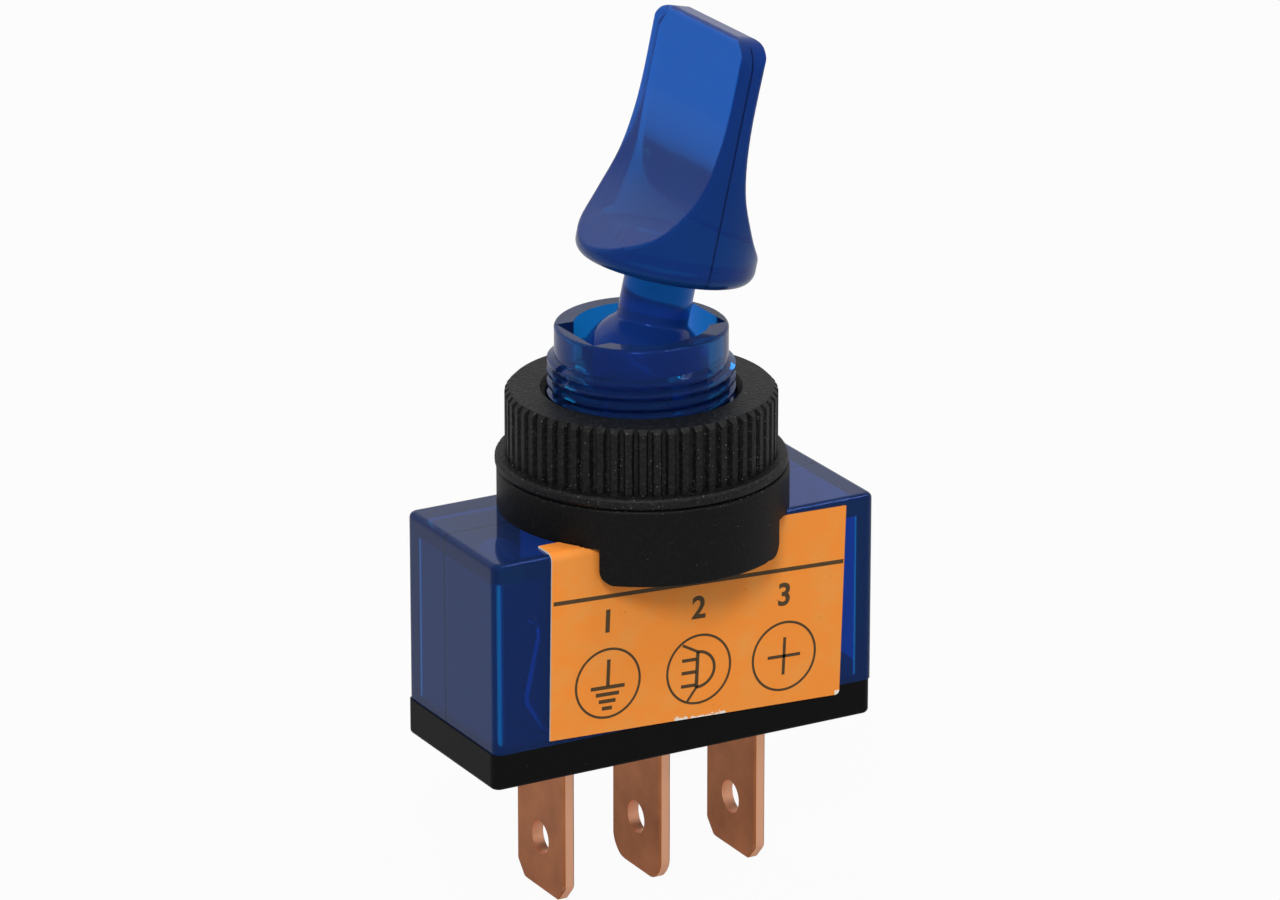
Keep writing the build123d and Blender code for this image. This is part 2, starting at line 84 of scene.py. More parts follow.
def addNode(tree, kind, settings=None, inputs=None):
    # one node: settings are its own options, inputs are values or links from other sockets
    node = tree.nodes.new(kind)
    for name, value in (settings or {}).items():
        setattr(node, name, value)
    for key, value in (inputs or {}).items():
        if isinstance(value, bpy.types.NodeSocket):
            tree.links.new(value, node.inputs[key])
        else:
            node.inputs[key].default_value = value
    return node


def newMaterial(name):
    material = bpy.data.materials.new(name)
    material.use_nodes = True
    tree = material.node_tree
    tree.nodes.clear()
    output = addNode(tree, "ShaderNodeOutputMaterial")
    return material, tree, output


def wear(node, material):
    # the CAD piece keeps its mesh and gets this finish
    piece = nodes[node]
    if not piece.material_slots:
        piece.data.materials.append(material)
    for materialSlot in piece.material_slots:
        materialSlot.material = material


def meshPiece(name, points, faces, material, smooth=False):
    mesh = bpy.data.meshes.new(name)
    mesh.from_pydata(np.asarray(points).reshape(-1, 3).tolist(), [], faces)
    mesh.polygons.foreach_set("use_smooth", [smooth] * len(mesh.polygons))
    mesh.update()
    mesh.materials.append(material)
    piece = bpy.data.objects.new(name, mesh)
    bpy.context.collection.objects.link(piece)
    return piece


# Tinted polycarbonate, injection moulded and polished: bright blue where it is thin, navy where it is thick.
# The mould's halves meet in a fine line, and a few grains of dust glint on the gloss.
shellPlastic = {
    "name": "blue polycarbonate housing", "tint": "#4a79df", "clear": 0.9, "ior": 1.42, "gleam": "#5a7ef0",
    "roughness": 0.06, "absorbColour": (0.02, 0.868, 0.817), "absorbDensity": 2000.0,
    "wave": 4.0, "waveDepth": 0.001,  # millimetres between the mould's slow waves, and their depth
    # dust: its cells' width in millimetres, a grain's size in cells, the share of cells with one, its height
    "dust": 0.9, "dustSize": 0.08, "dustShare": 0.14, "dustDepth": 0.04,
    "seamAxis": "Y", "seamPlace": 0.75, "seamHalf": 0.055, "seamStep": 0.02, "seamTint": "#12254c",
    "seamBelow": 0.1, "seamOutside": 0.0, "frameTilt": 0.0, "frameOrigin": (0, 0, 0)}
leverPlastic = dict(
    shellPlastic, name="blue polycarbonate lever", tint="#3676ff", clear=0.84, roughness=0.12,
    dust=1.1, dustShare=0.1,
    seamAxis="X", seamPlace=-0.12, seamHalf=0.06, seamTint="#1c3c94", seamBelow=22.5, seamOutside=3.2,
    frameTilt=leverTilt, frameOrigin=tuple(pivotPoint))


def tintedPolycarbonate(settings):
    material, tree, output = newMaterial(settings["name"])
    place = addNode(tree, "ShaderNodeTexCoord").outputs["Object"]
    waves = addNode(tree, "ShaderNodeTexNoise", None, {
        "Vector": place, "Scale": 1 / (settings["wave"] * mm), "Detail": 0.0})
    relief = addNode(tree, "ShaderNodeMath", {"operation": "MULTIPLY"}, {
        0: waves.outputs["Fac"], 1: settings["waveDepth"]})

    # dust: one small round grain in a few of the cells
    cells = addNode(tree, "ShaderNodeTexVoronoi", None, {
        "Vector": place, "Scale": 1 / (settings["dust"] * mm)})
    near = addNode(tree, "ShaderNodeMath", {"operation": "LESS_THAN"}, {
        0: cells.outputs["Distance"], 1: settings["dustSize"]})
    pick = addNode(tree, "ShaderNodeSeparateColor", None, {"Color": cells.outputs["Color"]})
    chosen = addNode(tree, "ShaderNodeMath", {"operation": "LESS_THAN"}, {
        0: pick.outputs["Red"], 1: settings["dustShare"]})
    grain = addNode(tree, "ShaderNodeMath", {"operation": "MULTIPLY"}, {
        0: near.outputs[0], 1: chosen.outputs[0]})
    relief = addNode(tree, "ShaderNodeMath", {"operation": "MULTIPLY_ADD"}, {
        0: grain.outputs[0], 1: settings["dustDepth"], 2: relief.outputs[0]})

    # the seam, in the piece's own upright frame: a thin dark line with a small step at it
    turn = Matrix.Rotation(-settings["frameTilt"], 3, "Y")
    upright = addNode(tree, "ShaderNodeMapping", None, {
        "Vector": place, "Rotation": (0, -settings["frameTilt"], 0),
        "Location": -(turn @ Vector(settings["frameOrigin"]))})
    spot = addNode(tree, "ShaderNodeSeparateXYZ", None, {"Vector": upright.outputs[0]})
    across = spot.outputs[settings["seamAxis"]]
    onSeam = addNode(tree, "ShaderNodeMath", {"operation": "COMPARE"}, {
        0: across, 1: settings["seamPlace"] * mm, 2: settings["seamHalf"] * mm})
    lower = addNode(tree, "ShaderNodeMath", {"operation": "LESS_THAN"}, {
        0: spot.outputs["Z"], 1: settings["seamBelow"] * mm})
    wide = addNode(tree, "ShaderNodeMath", {"operation": "ABSOLUTE"}, {0: spot.outputs["Y"]})
    outside = addNode(tree, "ShaderNodeMath", {"operation": "GREATER_THAN"}, {
        0: wide.outputs[0], 1: settings["seamOutside"] * mm})
    there = addNode(tree, "ShaderNodeMath", {"operation": "MULTIPLY"}, {
        0: lower.outputs[0], 1: outside.outputs[0]})
    seam = addNode(tree, "ShaderNodeMath", {"operation": "MULTIPLY"}, {
        0: onSeam.outputs[0], 1: there.outputs[0]})
    relief = addNode(tree, "ShaderNodeMath", {"operation": "MULTIPLY_ADD"}, {
        0: seam.outputs[0], 1: -settings["seamStep"], 2: relief.outputs[0]})
    shade = addNode(tree, "ShaderNodeMix", {"data_type": "RGBA"}, {
        "Factor": seam.outputs[0], "A": colour(settings["tint"]), "B": colour(settings["seamTint"])})

    bump = addNode(tree, "ShaderNodeBump", None, {
        "Height": relief.outputs[0], "Distance": mm, "Strength": 1.0})
    surface = addNode(tree, "ShaderNodeBsdfPrincipled", None, {
        "Base Color": shade.outputs["Result"], "Roughness": settings["roughness"], "IOR": settings["ior"],
        "Transmission Weight": settings["clear"], "Specular Tint": colour(settings["gleam"]),
        "Normal": bump.outputs["Normal"]})
    inside = addNode(tree, "ShaderNodeVolumeAbsorption", None, {
        "Color": (*settings["absorbColour"], 1.0), "Density": settings["absorbDensity"]})
    tree.links.new(surface.outputs["BSDF"], output.inputs["Surface"])
    tree.links.new(inside.outputs["Volume"], output.inputs["Volume"])
    return material


# Black ABS from a spark-eroded mould: a dull grain, with painted glints (light grey specks mixed into its
# colour), most of all along the rims
nutPlastic = {
    "name": "black grained abs nut", "body": "#0c0c0c", "mottle": "#202020", "paintedGlint": "#8c8c8c",
    "roughness": 0.5, "specular": 0.22, "grain": 0.24, "grainDepth": 0.07, "patchFrom": 0.45, "patchTo": 0.7,
    "glintSpacing": 0.2, "glintSize": 0.15, "glintShare": 0.36,
    "rimHeight": 3.1, "rimHalf": 0.45, "rimReach": 9.15, "rimShare": 0.55}
collarPlastic = dict(
    nutPlastic, name="black grained abs collar", body="#0c0b0b", mottle="#141313", paintedGlint="#6c6c6c",
    specular=0.14, grainDepth=0.025, glintShare=0.06, rimHeight=2.6, rimHalf=0.12, rimShare=0.75)
basePlastic = dict(
    nutPlastic, name="black smooth abs base", body="#0d0d0d", mottle="#101010", roughness=0.38,
    specular=0.07, grainDepth=0.006, glintShare=0.015, rimShare=0.015)


def blackAbs(settings):
    material, tree, output = newMaterial(settings["name"])
    place = addNode(tree, "ShaderNodeTexCoord").outputs["Object"]
    grain = addNode(tree, "ShaderNodeTexNoise", None, {
        "Vector": place, "Scale": 1 / (settings["grain"] * mm), "Detail": 3.0, "Roughness": 0.6})
    cells = addNode(tree, "ShaderNodeTexVoronoi", None, {
        "Vector": place, "Scale": 1 / (settings["glintSpacing"] * mm)})
    near = addNode(tree, "ShaderNodeMath", {"operation": "LESS_THAN"}, {
        0: cells.outputs["Distance"], 1: settings["glintSize"]})
    pick = addNode(tree, "ShaderNodeSeparateColor", None, {"Color": cells.outputs["Color"]})

    # the rim, where more glints are painted: near one height, and far enough from the axis
    spot = addNode(tree, "ShaderNodeSeparateXYZ", None, {"Vector": place})
    level = addNode(tree, "ShaderNodeMath", {"operation": "COMPARE"}, {
        0: spot.outputs["Z"], 1: settings["rimHeight"] * mm, 2: settings["rimHalf"] * mm})
    flat = addNode(tree, "ShaderNodeCombineXYZ", None, {"X": spot.outputs["X"], "Y": spot.outputs["Y"]})
    reach = addNode(tree, "ShaderNodeVectorMath", {"operation": "LENGTH"}, {0: flat.outputs[0]})
    far = addNode(tree, "ShaderNodeMath", {"operation": "GREATER_THAN"}, {
        0: reach.outputs["Value"], 1: settings["rimReach"] * mm})
    rim = addNode(tree, "ShaderNodeMath", {"operation": "MULTIPLY"}, {
        0: level.outputs[0], 1: far.outputs[0]})
    share = addNode(tree, "ShaderNodeMix", None, {
        "Factor": rim.outputs[0], "A": settings["glintShare"], "B": settings["rimShare"]})

    # painted glints: in some cells a small light grey speck is mixed into the colour, in more cells along the
    # rim
    chosen = addNode(tree, "ShaderNodeMath", {"operation": "LESS_THAN"}, {
        0: pick.outputs["Red"], 1: share.outputs["Result"]})
    paintedGlint = addNode(tree, "ShaderNodeMath", {"operation": "MULTIPLY"}, {
        0: near.outputs[0], 1: chosen.outputs[0]})
    paintedGlintAmount = addNode(tree, "ShaderNodeMath", {"operation": "MULTIPLY"}, {
        0: paintedGlint.outputs[0], 1: pick.outputs["Green"]})
    patchy = addNode(tree, "ShaderNodeMapRange", None, {
        "Value": grain.outputs["Fac"], "From Min": settings["patchFrom"], "From Max": settings["patchTo"]})
    dull = addNode(tree, "ShaderNodeMix", {"data_type": "RGBA"}, {
        "Factor": patchy.outputs[0], "A": colour(settings["body"]), "B": colour(settings["mottle"])})
    shade = addNode(tree, "ShaderNodeMix", {"data_type": "RGBA"}, {
        "Factor": paintedGlintAmount.outputs[0], "A": dull.outputs["Result"], "B": colour(settings["paintedGlint"])})
    bump = addNode(tree, "ShaderNodeBump", None, {
        "Height": grain.outputs["Fac"], "Distance": settings["grainDepth"] * mm, "Strength": 1.0})
    surface = addNode(tree, "ShaderNodeBsdfPrincipled", None, {
        "Base Color": shade.outputs["Result"], "Roughness": settings["roughness"],
        "Specular IOR Level": settings["specular"], "Normal": bump.outputs["Normal"]})
    tree.links.new(surface.outputs["BSDF"], output.inputs["Surface"])
    return material


# Copper alloy strip, rolled and stamped: a dull brownish face, and a lighter sheared edge, partly its own
# brighter metal and partly a painted highlight for the light the narrow faces catch
bladeCopper = {
    "name": "stamped copper strip", "face": "#c87d4e", "stain": "#b16c43", "edge": "#fcc09c",
    "faceRoughness": 0.34, "edgeRoughness": 0.5, "stainSize": 2.5, "stainFrom": 0.35, "stainTo": 0.7,
    "edgeFacing": 0.7, "rollLine": 0.12, "rollStretch": 0.08, "rollDepth": 0.003,
    "markDark": "#4a2a20", "markY": -1.25, "markDrop": 1.3, "markHalf": 0.3, "markLine": 0.05}


def stampedCopper(settings):
    material, tree, output = newMaterial(settings["name"])
    coordinates = addNode(tree, "ShaderNodeTexCoord")
    place = coordinates.outputs["Object"]
    stains = addNode(tree, "ShaderNodeTexNoise", None, {
        "Vector": place, "Scale": 1 / (settings["stainSize"] * mm), "Detail": 4.0, "Roughness": 0.6})
    mottle = addNode(tree, "ShaderNodeMapRange", None, {
        "Value": stains.outputs["Fac"], "From Min": settings["stainFrom"], "From Max": settings["stainTo"]})
    faceShade = addNode(tree, "ShaderNodeMix", {"data_type": "RGBA"}, {
        "Factor": mottle.outputs[0], "A": colour(settings["face"]), "B": colour(settings["stain"])})

    # the narrow faces are those whose normal points along Y or Z: sheared metal, whose lighter colour is partly
    # a painted highlight
    facing = addNode(tree, "ShaderNodeSeparateXYZ", None, {"Vector": coordinates.outputs["Normal"]})
    sideways = addNode(tree, "ShaderNodeMath", {"operation": "ABSOLUTE"}, {0: facing.outputs["X"]})
    shearedAndPaintedBright = addNode(tree, "ShaderNodeMath", {"operation": "LESS_THAN"}, {
        0: sideways.outputs[0], 1: settings["edgeFacing"]})
    shade = addNode(tree, "ShaderNodeMix", {"data_type": "RGBA"}, {
        "Factor": shearedAndPaintedBright.outputs[0], "A": faceShade.outputs["Result"], "B": colour(settings["edge"])})

    # two fine tool marks that meet in a V under the base
    spot = addNode(tree, "ShaderNodeSeparateXYZ", None, {"Vector": place})
    offset = addNode(tree, "ShaderNodeMath", {"operation": "SUBTRACT"}, {
        0: spot.outputs["Y"], 1: settings["markY"] * mm})
    spread = addNode(tree, "ShaderNodeMath", {"operation": "ABSOLUTE"}, {0: offset.outputs[0]})
    above = addNode(tree, "ShaderNodeMath", {"operation": "SUBTRACT"}, {
        0: spot.outputs["Z"], 1: baseLow.z - settings["markDrop"] * mm})
    line = addNode(tree, "ShaderNodeMath", {"operation": "MULTIPLY"}, {
        0: above.outputs[0], 1: settings["markHalf"] / settings["markDrop"]})
    miss = addNode(tree, "ShaderNodeMath", {"operation": "COMPARE"}, {
        0: spread.outputs[0], 1: line.outputs[0], 2: settings["markLine"] * mm})
    below = addNode(tree, "ShaderNodeMath", {"operation": "GREATER_THAN"}, {0: above.outputs[0], 1: 0.0})
    mark = addNode(tree, "ShaderNodeMath", {"operation": "MULTIPLY"}, {
        0: miss.outputs[0], 1: below.outputs[0]})
    marked = addNode(tree, "ShaderNodeMix", {"data_type": "RGBA"}, {
        "Factor": mark.outputs[0], "A": shade.outputs["Result"], "B": colour(settings["markDark"])})

    # rolling lines run down the blade, so the pattern is stretched along Z
    stretched = addNode(tree, "ShaderNodeMapping", None, {
        "Vector": place, "Scale": (1.0, 1.0, settings["rollStretch"])})
    lines = addNode(tree, "ShaderNodeTexNoise", None, {
        "Vector": stretched.outputs[0], "Scale": 1 / (settings["rollLine"] * mm), "Detail": 2.0})
    bump = addNode(tree, "ShaderNodeBump", None, {
        "Height": lines.outputs["Fac"], "Distance": settings["rollDepth"] * mm, "Strength": 1.0})
    rough = addNode(tree, "ShaderNodeMix", None, {
        "Factor": shearedAndPaintedBright.outputs[0], "A": settings["faceRoughness"], "B": settings["edgeRoughness"]})
    surface = addNode(tree, "ShaderNodeBsdfPrincipled", None, {
        "Base Color": marked.outputs["Result"], "Roughness": rough.outputs["Result"], "Metallic": 1.0,
        "Normal": bump.outputs["Normal"]})
    tree.links.new(surface.outputs["BSDF"], output.inputs["Surface"])
    return material


# Coated label paper, printed orange on a white sheet: fine brown flecks, white where it is cut or torn
labelPaper = {
    "name": "orange label paper", "print": "#fc9536", "faded": "#f4a04a", "core": "#f3ece0", "fleck": "#a8681f",
    "roughness": 0.62, "specular": 0.3, "fibre": 0.25, "fibreDepth": 0.006,
    "blotch": 3.0, "fadedFrom": 0.45, "fadedTo": 0.75, "cutFacing": 0.6,
    "fleckSpacing": 0.8, "fleckSize": 0.09, "fleckShare": 0.3,
    "lowerLeft": (-10.0, -12.39), "lowerRight": (11.2, -13.31),
    "tornMiddle": 0.9, "tornHalf": 1.9, "tornReach": 0.42, "raggedFrom": 0.4, "raggedTo": 0.8,
    "cornerStart": 10.85, "cornerReach": 0.3}


def printedPaper(settings):
    material, tree, output = newMaterial(settings["name"])
    coordinates = addNode(tree, "ShaderNodeTexCoord")
    place = coordinates.outputs["Object"]
    blotches = addNode(tree, "ShaderNodeTexNoise", None, {
        "Vector": place, "Scale": 1 / (settings["blotch"] * mm), "Detail": 5.0, "Roughness": 0.65})
    faded = addNode(tree, "ShaderNodeMapRange", None, {
        "Value": blotches.outputs["Fac"], "From Min": settings["fadedFrom"], "From Max": settings["fadedTo"]})
    shade = addNode(tree, "ShaderNodeMix", {"data_type": "RGBA"}, {
        "Factor": faded.outputs[0], "A": colour(settings["print"]), "B": colour(settings["faded"])})

    # flecks: a small soft grain in some of the cells
    cells = addNode(tree, "ShaderNodeTexVoronoi", None, {
        "Vector": place, "Scale": 1 / (settings["fleckSpacing"] * mm)})
    near = addNode(tree, "ShaderNodeMapRange", None, {
        "Value": cells.outputs["Distance"], "From Min": settings["fleckSize"], "From Max": 0.0})
    pick = addNode(tree, "ShaderNodeSeparateColor", None, {"Color": cells.outputs["Color"]})
    chosen = addNode(tree, "ShaderNodeMath", {"operation": "LESS_THAN"}, {
        0: pick.outputs["Red"], 1: settings["fleckShare"]})
    fleck = addNode(tree, "ShaderNodeMath", {"operation": "MULTIPLY"}, {
        0: near.outputs[0], 1: chosen.outputs[0]})
    flecked = addNode(tree, "ShaderNodeMix", {"data_type": "RGBA"}, {
        "Factor": fleck.outputs[0], "A": shade.outputs["Result"], "B": colour(settings["fleck"])})

    # the cut sides face along X; the lower edge is a straight line,
    # and the height above it tells where the paper is torn
    facing = addNode(tree, "ShaderNodeSeparateXYZ", None, {"Vector": coordinates.outputs["Normal"]})
    sideways = addNode(tree, "ShaderNodeMath", {"operation": "ABSOLUTE"}, {0: facing.outputs["X"]})
    cut = addNode(tree, "ShaderNodeMath", {"operation": "GREATER_THAN"}, {
        0: sideways.outputs[0], 1: settings["cutFacing"]})
    fibres = addNode(tree, "ShaderNodeTexNoise", None, {
        "Vector": place, "Scale": 1 / (settings["fibre"] * mm), "Detail": 4.0, "Roughness": 0.7})
    spot = addNode(tree, "ShaderNodeSeparateXYZ", None, {"Vector": place})
    (leftX, leftZ), (rightX, rightZ) = settings["lowerLeft"], settings["lowerRight"]
    slope = (rightZ - leftZ) / (rightX - leftX)
    edge = addNode(tree, "ShaderNodeMath", {"operation": "MULTIPLY_ADD"}, {
        0: spot.outputs["X"], 1: slope, 2: (leftZ - slope * leftX) * mm})
    above = addNode(tree, "ShaderNodeMath", {"operation": "SUBTRACT"}, {
        0: spot.outputs["Z"], 1: edge.outputs[0]})
    ragged = addNode(tree, "ShaderNodeMapRange", None, {
        "Value": fibres.outputs["Fac"], "From Min": settings["raggedFrom"], "From Max": settings["raggedTo"],
        "To Max": settings["tornReach"] * mm})
    torn = addNode(tree, "ShaderNodeMath", {"operation": "LESS_THAN"}, {
        0: above.outputs[0], 1: ragged.outputs[0]})
    middle = addNode(tree, "ShaderNodeMath", {"operation": "COMPARE"}, {
        0: spot.outputs["X"], 1: settings["tornMiddle"] * mm, 2: settings["tornHalf"] * mm})
    tornThere = addNode(tree, "ShaderNodeMath", {"operation": "MULTIPLY"}, {
        0: torn.outputs[0], 1: middle.outputs[0]})
    low = addNode(tree, "ShaderNodeMath", {"operation": "LESS_THAN"}, {
        0: above.outputs[0], 1: settings["cornerReach"] * mm})
    right = addNode(tree, "ShaderNodeMath", {"operation": "GREATER_THAN"}, {
        0: spot.outputs["X"], 1: settings["cornerStart"] * mm})
    corner = addNode(tree, "ShaderNodeMath", {"operation": "MULTIPLY"}, {
        0: low.outputs[0], 1: right.outputs[0]})
    bareHere = addNode(tree, "ShaderNodeMath", {"operation": "MAXIMUM"}, {
        0: cut.outputs[0], 1: tornThere.outputs[0]})
    bareHere = addNode(tree, "ShaderNodeMath", {"operation": "MAXIMUM"}, {
        0: bareHere.outputs[0], 1: corner.outputs[0]})
    bare = addNode(tree, "ShaderNodeMix", {"data_type": "RGBA"}, {
        "Factor": bareHere.outputs[0], "A": flecked.outputs["Result"], "B": colour(settings["core"])})

    bump = addNode(tree, "ShaderNodeBump", None, {
        "Height": fibres.outputs["Fac"], "Distance": settings["fibreDepth"] * mm, "Strength": 1.0})
    surface = addNode(tree, "ShaderNodeBsdfPrincipled", None, {
        "Base Color": bare.outputs["Result"], "Roughness": settings["roughness"],
        "Specular IOR Level": settings["specular"], "Normal": bump.outputs["Normal"]})
    tree.links.new(surface.outputs["BSDF"], output.inputs["Surface"])
    return material


# For the pieces inside: metals with fine lines from drawing or stamping, and mouldings with a faint grain.
# Size and depth are in millimetres, and a small stretch draws the pattern out along that axis.
innerFinishes = {
    "drawn steel": {"nodes": ["pivot_pin"], "base": "#b9babd", "metallic": 1.0,
                    "roughness": 0.25, "size": 0.1, "depth": 0.002, "stretch": (1.0, 0.1, 1.0)},
    "stamped brass": {"nodes": ["rocker_contact"], "base": "#c9a45c", "metallic": 1.0,
                      "roughness": 0.35, "size": 0.15, "depth": 0.002, "stretch": (0.1, 1.0, 1.0)},
    "silver rivet": {"nodes": ["rocker_contact_tip", "power_contact_tip"], "base": "#d9d8d2", "metallic": 1.0,
                     "roughness": 0.4, "size": 0.2, "depth": 0.003, "stretch": (1.0, 1.0, 1.0)},
    "natural nylon": {"nodes": ["plunger"], "base": "#e6e3d6", "metallic": 0.0,
                      "roughness": 0.45, "size": 0.3, "depth": 0.003, "stretch": (1.0, 1.0, 1.0)},
    "clear lamp epoxy": {"nodes": ["led_lamp"], "base": "#cfdcf5", "metallic": 0.0,
                         "roughness": 0.1, "size": 0.8, "depth": 0.002, "stretch": (1.0, 1.0, 1.0)},
    "painted resistor": {"nodes": ["resistor"], "base": "#c9b48c", "metallic": 0.0,
                         "roughness": 0.5, "size": 0.2, "depth": 0.004, "stretch": (1.0, 1.0, 1.0)},
    "tinned wire": {"nodes": ["led_live_lead", "led_ground_lead", "resistor_lead"], "base": "#d5d8dd",
                    "metallic": 1.0, "roughness": 0.25, "size": 0.15, "depth": 0.003,
                    "stretch": (1.0, 1.0, 1.0)},
}


def workedFinish(name, settings):
    material, tree, output = newMaterial(name)
    place = addNode(tree, "ShaderNodeTexCoord").outputs["Object"]
    stretched = addNode(tree, "ShaderNodeMapping", None, {"Vector": place, "Scale": settings["stretch"]})
    texture = addNode(tree, "ShaderNodeTexNoise", None, {
        "Vector": stretched.outputs[0], "Scale": 1 / (settings["size"] * mm), "Detail": 3.0})
    bump = addNode(tree, "ShaderNodeBump", None, {
        "Height": texture.outputs["Fac"], "Distance": settings["depth"] * mm, "Strength": 1.0})
    surface = addNode(tree, "ShaderNodeBsdfPrincipled", None, {
        "Base Color": colour(settings["base"]), "Roughness": settings["roughness"],
        "Metallic": settings["metallic"], "Normal": bump.outputs["Normal"]})
    tree.links.new(surface.outputs["BSDF"], output.inputs["Surface"])
    return material


wear("housing", tintedPolycarbonate(shellPlastic))
wear("lever", tintedPolycarbonate(leverPlastic))
wear("panel_nut", blackAbs(nutPlastic))
wear("spacer_collar", blackAbs(collarPlastic))
wear("base", blackAbs(basePlastic))
copper = stampedCopper(bladeCopper)
for node in ("ground_terminal", "switched_terminal", "power_terminal"):
    wear(node, copper)
wear("front_label", printedPaper(labelPaper))
for name, settings in innerFinishes.items():
    inner = workedFinish(name, settings)
    for node in settings["nodes"]:
        wear(node, inner)
print("finishes made")


# The plunger's spring: drawn steel wire wound round the stem's axis, here wound at one length only.
springCoil = {
    "wire": 0.4, "coilRadius": 1.1, "turns": 6, "turnSteps": 48, "ringSteps": 14,
    "roofDrop": 1.6, "pressedTravel": 0.8}  # millimetres; the roof is the bore's end, below the lever's pivot


def coilMesh(settings, low, high):
    # a circle carried along a helix, both in the lever's own upright frame, in millimetres
    share = np.linspace(0, 1, settings["turns"] * settings["turnSteps"] + 1)[:, None]
    angle = 2 * np.pi * settings["turns"] * share
    radius, level = settings["coilRadius"], np.zeros_like(angle)
    rise = (high - low) / (2 * np.pi * settings["turns"])
    height = low + (high - low) * share
    centre = np.concatenate([radius * np.cos(angle), radius * np.sin(angle), height], axis=1)
    along = np.concatenate([-radius * np.sin(angle), radius * np.cos(angle), level + rise], axis=1)
    along /= np.linalg.norm(along, axis=1, keepdims=True)
    inward = np.concatenate([-np.cos(angle), -np.sin(angle), level], axis=1)
    upward = np.cross(along, inward)
    ring = np.linspace(0, 2 * np.pi, settings["ringSteps"], endpoint=False)[None, :, None]
    points = centre[:, None] + settings["wire"] / 2 * (
        np.cos(ring) * inward[:, None] + np.sin(ring) * upward[:, None])
    rows, columns = points.shape[:2]
    first = np.arange(rows - 1)[:, None] * columns
    here, beside = first + np.arange(columns), first + (np.arange(columns) + 1) % columns
    faces = np.stack([here, beside, beside + columns, here + columns], axis=-1).reshape(-1, 4).tolist()
    faces.append(list(range(columns))[::-1])
    faces.append(list(range((rows - 1) * columns, rows * columns)))
    return points.reshape(-1, 3), faces


# the coil's two ends are read from the model, along the leaning stem
stemAxis = np.array([math.sin(leverTilt), 0.0, math.cos(leverTilt)])
springVertices = nodes["plunger_spring"].data.vertices
springPlaces = np.empty(3 * len(springVertices))
springVertices.foreach_get("co", springPlaces)
springReach = (springPlaces.reshape(-1, 3) - np.array(pivotPoint)) @ stemAxis / mm
coilPoints, coilFaces = coilMesh(
    springCoil, springReach.min() + springCoil["wire"] / 2, springReach.max() - springCoil["wire"] / 2)
leaning = np.array(Matrix.Rotation(leverTilt, 3, "Y"))
coilPlaces = coilPoints @ leaning.T * mm + np.array(pivotPoint)
plungerCoil = meshPiece("plungerCoil", coilPlaces, coilFaces, bpy.data.materials["drawn steel"], smooth=True)
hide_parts("plunger_spring")
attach(plungerCoil, "toggle")
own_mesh(plungerCoil)
print("spring wound")


# The print on the label, in millimetres: ink strokes about a hundredth of a millimetre thick.
# A sign's lines are measured from its own centre, and each has its width as a share of the line width.
printInk = {
    "name": "dark brown ink", "body": "#43341f", "worn": "#5a4526", "wornSize": 0.2,
    "roughness": 0.6, "specular": 0.3, "thickness": 0.012, "slant": -2.65,
    "rule": [(-9.72, -3.20), (11.42, -4.18)], "ruleWidth": 0.27,
    "signs": [(-5.84, -9.25), (0.77, -9.56), (7.05, -9.87)],
    "ringRadius": 2.3, "ringWidth": 0.16, "ringSteps": 96, "lineWidth": 0.25,
    "groundLines": [
        ([(0, 1.6), (0, -0.2)], 1.0), ([(-1.22, -0.27), (1.22, -0.27)], 1.0),
        ([(-0.84, -0.73), (0.84, -0.73)], 1.0), ([(-0.6, -1.2), (0.6, -1.2)], 1.0),
        ([(-0.36, -1.68), (0.36, -1.68)], 1.0)],
    "lampLines": [
        ([(-0.12, 1.18), (-0.12, -1.22)], 1.0), ([(-1.25, 0.7), (-0.2, 0.7)], 0.9),
        ([(-1.25, -0.15), (-0.2, -0.15)], 0.9), ([(-1.25, -1.05), (-0.2, -1.05)], 0.9),
        ([(-0.1, 1.18), (-1.25, 1.75)], 0.7), ([(-0.1, -1.2), (-0.75, -2.1)], 0.7)],
    "plusLines": [([(0, 1.27), (0, -1.27)], 0.85), ([(-1.2, 0), (1.2, 0)], 0.85)],
    "lampBow": {"centre": (-0.12, -0.02), "radius": 1.2, "widen": 1.05, "width": 0.8},
    "numberHeight": 1.5, "numberSize": 1.4, "numberDrop": 1.75, "numberBold": 0.05}


def ribbon(path, width):
    # a flat stroke: each path point moved half a width to both sides, along the normal of the path there
    path = np.asarray(path, float)
    along = np.gradient(path, axis=0)
    along /= np.linalg.norm(along, axis=1, keepdims=True)
    across = np.stack([-along[:, 1], along[:, 0]], axis=1) * width / 2
    return path + across, path - across


def strokeMesh(paths, face, thickness):
    # every stroke as a closed thin strip: left and right sides, under and over
    points, faces = [], []
    for path, width in paths:
        left, right = ribbon(path, width)
        count, start = len(left), sum(len(p) for p in points)
        sides = [(left, face), (right, face), (right, face - thickness), (left, face - thickness)]
        layers = [np.stack([side[:, 0], np.full(count, y), side[:, 1]], axis=1) for side, y in sides]
        points.append(np.concatenate(layers))
        here = start + np.arange(count - 1)
        for k in range(4):
            low, high = here + k * count, here + ((k + 1) % 4) * count
            faces += np.stack([low, low + 1, high + 1, high], axis=1).tolist()
        ends = [start + k * count for k in range(4)]
        faces.append(ends)
        faces.append([e + count - 1 for e in reversed(ends)])
    return np.concatenate(points), faces


def arc(centre, radius, first, last, steps, widen=1.0):
    # points on a circle from one angle to another, in degrees, drawn out sideways by widen
    angle = np.radians(np.linspace(first, last, steps))
    return np.stack([centre[0] + widen * radius * np.cos(angle), centre[1] + radius * np.sin(angle)], axis=1)


def turned(points, centre):
    # sign coordinates turned by the label's slant and put at the sign's centre
    angle = math.radians(printInk["slant"])
    turn = np.array([[math.cos(angle), -math.sin(angle)], [math.sin(angle), math.cos(angle)]])
    return np.asarray(points, float) @ turn.T + np.array(centre)


